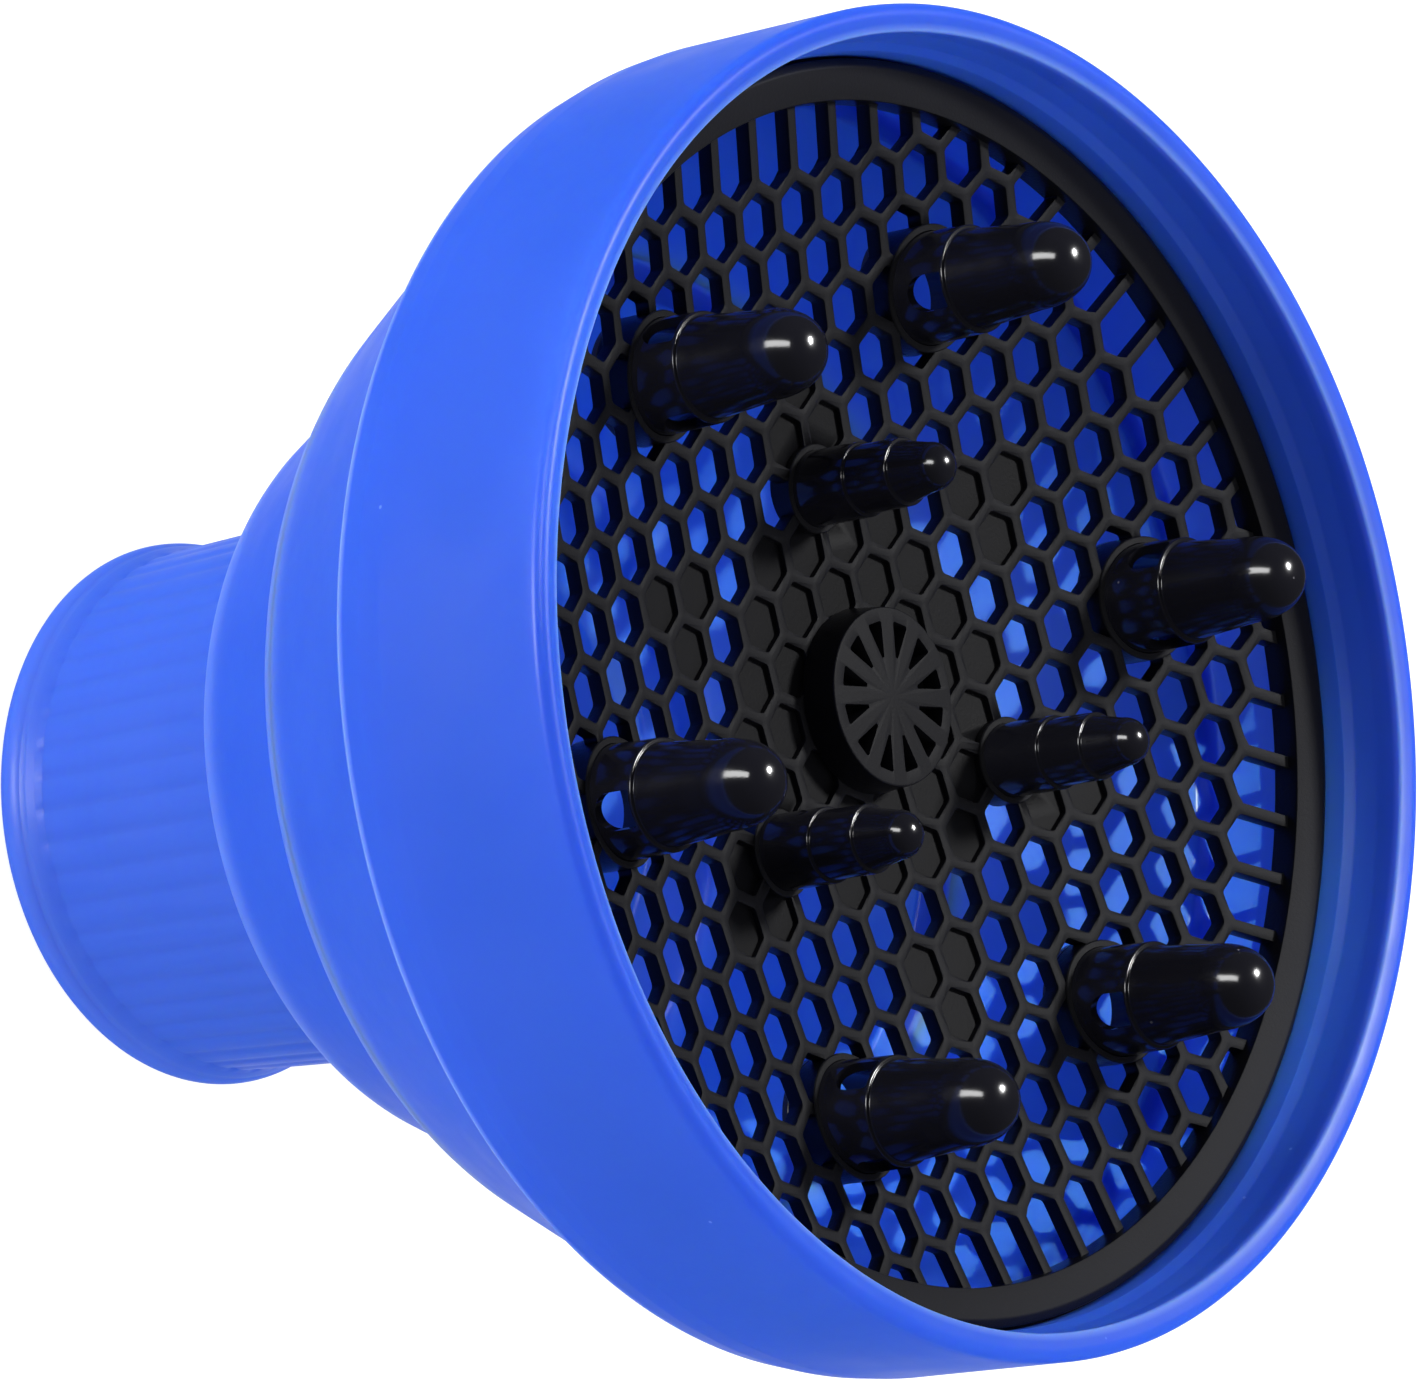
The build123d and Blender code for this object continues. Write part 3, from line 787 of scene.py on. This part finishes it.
def grille():
    """The honeycomb plate with the fingers' sockets, inside the ring that holds it."""
    plate = Plate()
    for i in range(-LAST_ROW, LAST_ROW + 1):
        for j in range(-LAST_ROW, LAST_ROW + 1):
            if row_of(i, j) <= LAST_ROW:
                plate.cell(i, j)
    made = make_object("honeycomb_grille", plate.vertices, plate.faces, GRILLE, 35)
    cutters = []
    tubes = []
    for kind, (hole, outer, inner, drop) in SOCKETS.items():
        for _, x, y in finger_places(kind):
            cutter = rod((x, y), hole, DISH_FLOOR - 6, RING_FACE)
            cutters.append(make_object("cutter", *cutter, GRILLE))
            tubes.append(tube((x, y), outer, inner, RING_FACE - drop))
    cut(made, cutters)
    ring = rounded(
        [
            (RING_INNER, RING_FACE - 1.2, 0.15),
            (RING_RADIUS - 1.0, RING_FACE, 0.5),
            (RING_RADIUS, RING_FACE - 0.6, 0.3),
            (RING_RADIUS, RING_FACE - FLANGE_DROP, 0.1),
            (FLANGE_RADIUS, RING_FACE - FLANGE_DROP, 0.2),
            (FLANGE_RADIUS, RING_FACE - FLANGE_BACK_DROP, 0.2),
            (RING_BACK_RADIUS, RING_FACE - FLANGE_BACK_DROP, 0.1),
            (RING_BACK_RADIUS, RING_FACE - RING_BACK_DROP, 0.2),
            (RING_INNER, RING_FACE - RING_BACK_DROP, 0.2),
        ],
        closed=True,
        steps=4,
    )
    vertices, faces = joined(lathe(ring, RING_COLUMNS), *tubes)
    rest = make_object("rings", vertices, faces, GRILLE, 35)
    with bpy.context.temp_override(active_object=made, selected_editable_objects=[made, rest]):
        bpy.ops.object.join()
    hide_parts("grille_frame")
    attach(made, "bowl")


def finger(name, x, y, section, cutters=()):
    """A finger turned from its section, with holes cut in it."""
    vertices, faces = lathe(section, FINGER_COLUMNS, centre=(x, y), closed=section[0][0] > 0)
    made = make_object(name + "_shell", vertices, faces, FINGER)
    if cutters:
        cut(made, cutters)
        smooth(made, 40)
    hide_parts(name)
    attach(made, "bowl")
    return made


def window_cutters(x, y):
    """D-shaped windows in a large finger's skirt, square at the shoulder and round at the plate."""
    top = RING_FACE + 0.15
    half = WINDOW_WIDTH / 2
    low = top - WINDOW_HEIGHT
    square_end = [(-half, top, 0.4), (half, top, 0.4)]
    round_end = [(half, low, half - 0.05), (-half, low, half - 0.05)]
    outline = rounded(square_end + round_end, True, 8)
    made = []
    for k in range(WINDOW_COUNT):
        out = direction(math.atan2(y, x) + 2 * math.pi * k / WINDOW_COUNT)
        side = Vector((-out.y, out.x))

        def place(across, z, reach):
            return *(Vector((x, y)) + out * reach + side * across), z

        made.append(make_object("cutter", *prism(outline, 3.0, 9.0, place), FINGER))
    return made


def large_fingers():
    """Hollow fingers with a foot, a skirt with windows, a shoulder and a blunt nose."""
    foot = RING_FACE - LARGE_FOOT_DROP
    nose_foot = LARGE_TIP - LARGE_NOSE_LENGTH
    outer = rounded(
        [
            (5.35, foot, 0),
            (7.2, foot, 0.2),
            (7.2, foot + 1.0, 0.2),
            (6.45, foot + 1.0, 0),
            (6.2, LARGE_SHOULDER, 0.22),
            (5.72, LARGE_SHOULDER, 0.12),
            (LARGE_NOSE_RADIUS, nose_foot, 0),
        ]
    )
    for angle in [math.radians(3 + 87 * k / 24) for k in range(25)]:
        r = LARGE_NOSE_RADIUS * math.cos(angle) ** LARGE_NOSE_POWER
        outer.append((r, nose_foot + LARGE_NOSE_LENGTH * math.sin(angle) ** LARGE_NOSE_POWER))
    inner = arc((0, LARGE_TIP - 4.65), 3.55, 90, 0, 10)
    inner += [(4.6, LARGE_SHOULDER), (5.1, LARGE_SHOULDER - 1.1)]
    section = divided(outer, FINGER_STEP) + inner
    places = finger_places("large_finger")
    return [finger(name, x, y, section, window_cutters(x, y)) for name, x, y in places]


def small_fingers():
    """Solid fingers that step in twice and end in a half ball."""
    foot = RING_FACE - SMALL_FOOT_DROP
    nose_foot = SMALL_TIP - SMALL_NOSE_RADIUS
    outer = rounded(
        [
            (0, foot, 0),
            (4.3, foot, 0.2),
            (4.25, RING_FACE - 2.4, 0.18),
            (3.9, RING_FACE - 2.4, 0.08),
            (3.86, RING_FACE + 3.5, 0.18),
            (3.46, RING_FACE + 3.5, 0.08),
            (SMALL_NOSE_RADIUS, nose_foot, 0),
        ]
    )
    nose = arc((0, nose_foot), SMALL_NOSE_RADIUS, 4, 90, 14)
    section = divided(outer, FINGER_STEP) + nose
    return [finger(name, x, y, section) for name, x, y in finger_places("small_finger")]


def rosette():
    """The centre disc: a rim, a hub and twelve spokes, with pockets between them."""
    face = HUB_HIGH.z
    base = DISH_FLOOR + 0.25
    disc = rounded(
        [
            (0, HUB_LOW.z, 0),
            (5.0, HUB_LOW.z, 0.1),
            (5.0, base, 0),
            (HUB_HIGH.x, base, 0.1),
            (10.1, face, 0.25),
            (0, face, 0),
        ]
    )
    made = make_object("centre_rosette_disc", *lathe(disc, 120, closed=False), GRILLE, 35)
    wedge = [(4.5, -0.18, 0.08), (8.5, -1.2, 0.25), (8.5, 1.2, 0.25), (4.5, 0.18, 0.08)]
    outline = rounded(wedge, True, 3)
    cutters = []
    for k in range(SPOKES):
        out = direction(2 * math.pi * k / SPOKES)
        side = Vector((-out.y, out.x))

        def place(along, across, z):
            return *(out * along + side * across), z

        pocket = prism(outline, face - POCKET_DEPTH, face + 1.0, place)
        cutters.append(make_object("cutter", *pocket, GRILLE))
    cut(made, cutters)
    bevel = made.modifiers.new("edges", "BEVEL")
    bevel.width = 0.12 * MM
    bevel.segments = 2
    bevel.angle_limit = math.radians(50)
    apply_modifiers(made)
    smooth(made, 35)
    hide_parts("centre_rosette")
    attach(made, "bowl")


bell_skins = [lower_bell(), upper_bell()]
grille()
fingers = large_fingers() + small_fingers()
rosette()


# -------------------------------------------------------------------------- floor, light and camera


def stage_floor():
    """A pale floor just below the neck, which takes light but casts no shadow."""
    mesh = bpy.data.meshes.new("floor")
    corners = [(-1, -1), (1, -1), (1, 1), (-1, 1)]
    vertices = [(x * FLOOR_HALF_WIDTH, y * FLOOR_HALF_WIDTH, 0) for x, y in corners]
    mesh.from_pydata(vertices, [], [(0, 1, 2, 3)])
    floor = bpy.data.objects.new("floor", mesh)
    floor.location.z = -FLOOR_DROP
    bpy.context.scene.collection.objects.link(floor)
    nodes = Nodes("pale_floor")
    nodes.set(Base_Color=(0.3, 0.3, 0.3, 1), Roughness=0.9)
    nodes.set(Emission_Color=(1, 1, 1, 1), Emission_Strength=0.92)
    mesh.materials.append(nodes.material)
    floor.visible_shadow = False
    floor.visible_glossy = False


def lamp_from(data, side, target):
    """A lamp that shines on a target from a side, at the distance all of them keep."""
    made = bpy.data.objects.new(data.name, data)
    aim = Vector(side).normalized()
    made.location = Vector(target) + aim * LAMP_DISTANCE
    made.rotation_euler = aim.to_track_quat("Z", "Y").to_euler()
    bpy.context.scene.collection.objects.link(made)
    return made


def light(name, side, width, height, power):
    """A rectangular area light aimed at the middle of the object."""
    data = bpy.data.lights.new(name, "AREA")
    data.shape = "RECTANGLE"
    data.size, data.size_y = width, height
    data.energy = power
    return lamp_from(data, side, (0, 0, 0.08))


def light_only(lamp, receivers):
    """Lets a lamp light only the given objects, and returns their collection."""
    lit = bpy.data.collections.new("lit_by_" + lamp.name)
    for receiver in receivers:
        lit.objects.link(receiver)
    lamp.light_linking.receiver_collection = lit
    return lit


def beam(skins):
    """A narrow spot through the grille, which throws the honeycomb's pattern inside the bell."""
    data = bpy.data.lights.new("beam", "SPOT")
    data.spot_size = math.radians(6.8)
    data.spot_blend = 0.2
    data.shadow_soft_size = 0.008
    data.energy = 70.0
    data.color = (1.0, 1.0, 0.55)
    light_only(lamp_from(data, (-0.5, 0.42, 0.76), (0, 0, RING_FACE * MM)), skins)


def inner_glow(skins):
    """A small lamp inside the bell, standing in for the light that soaks through its wall."""
    data = bpy.data.lights.new("inner_glow", "POINT")
    data.shadow_soft_size = 0.022
    data.energy = 0.07
    data.color = (0.45, 0.8, 0.7)
    made = bpy.data.objects.new("inner_glow", data)
    made.location = (-0.01, 0, 0.078)
    made.visible_camera = False
    bpy.context.scene.collection.objects.link(made)
    light_only(made, skins)


def stage_camera():
    """The photo's camera, from its place and the directions to its right and behind it."""
    data = bpy.data.cameras.new("camera")
    data.sensor_width = 36.0
    data.lens = 215.3
    data.clip_end = 20.0
    camera = bpy.data.objects.new("camera", data)
    right = Vector((0.61713, -0.24965, 0.74618)).normalized()
    back = Vector((-0.75131, 0.09489, 0.65312))
    up = back.cross(right).normalized()
    back = right.cross(up)
    turn = Matrix((right, up, back)).transposed().to_4x4()
    camera.matrix_world = Matrix.Translation((-0.72568, 0.09561, 0.71624)) @ turn
    bpy.context.scene.collection.objects.link(camera)
    bpy.context.scene.camera = camera


def stage_world():
    """A white backdrop and soft light all round; gloss mirrors dark but for a glow behind."""
    away_from_camera = (0.75, -0.09, -0.65)
    glow_edges, glow_strengths = (0.84, 0.99), (0.05, 1.1)
    ambient, backdrop = 0.62, 1.0
    world = bpy.data.worlds.new("studio")
    world.use_nodes = True
    tree = world.node_tree
    tree.nodes.clear()
    out = tree.nodes.new("ShaderNodeOutputWorld")
    background = tree.nodes.new("ShaderNodeBackground")
    place = tree.nodes.new("ShaderNodeTexCoord")
    along = tree.nodes.new("ShaderNodeVectorMath")
    along.operation = "DOT_PRODUCT"
    along.inputs[1].default_value = away_from_camera
    glow = tree.nodes.new("ShaderNodeMapRange")
    for socket, value in zip(glow.inputs[1:5], (*glow_edges, *glow_strengths)):
        socket.default_value = value
    path = tree.nodes.new("ShaderNodeLightPath")
    strength = tree.nodes.new("ShaderNodeMix")
    strength.inputs[2].default_value = ambient
    seen = tree.nodes.new("ShaderNodeMix")
    seen.inputs[3].default_value = backdrop
    tree.links.new(place.outputs["Generated"], along.inputs[0])
    tree.links.new(along.outputs["Value"], glow.inputs[0])
    tree.links.new(path.outputs["Is Glossy Ray"], strength.inputs[0])
    tree.links.new(glow.outputs[0], strength.inputs[3])
    tree.links.new(strength.outputs[0], seen.inputs[2])
    tree.links.new(path.outputs["Is Camera Ray"], seen.inputs[0])
    tree.links.new(seen.outputs[0], background.inputs[1])
    tree.links.new(background.outputs[0], out.inputs[0])
    bpy.context.scene.world = world


stage_floor()
stage_world()
stage_camera()
right_side = (0.471, 0.192, 0.861)
light("top_softbox", (0.075, 0.962, 0.230), 1.1, 0.6, 5.3).visible_glossy = False
light("right_light", right_side, 0.12, 0.12, 4.4)
light("left_light", (-0.867, 0.472, -0.154), 0.14, 0.14, 3.6)
light("low_fill", (-0.295, -0.856, 0.413), 0.9, 0.5, 1.6).visible_glossy = False
light("inner_fill", (0.45, -0.7, 0.55), 0.5, 0.5, 4.2).visible_glossy = False
light_only(light("tip_light", right_side, 0.16, 0.16, 12.0), fingers)
finger_light = light("finger_light", (-0.798, 0.531, 0.26), 0.24, 1.1, 12.0)
finger_light.light_linking.blocker_collection = light_only(finger_light, fingers)
inner_glow(bell_skins)
beam(bell_skins)
bpy.context.scene.view_settings.view_transform = "Standard"
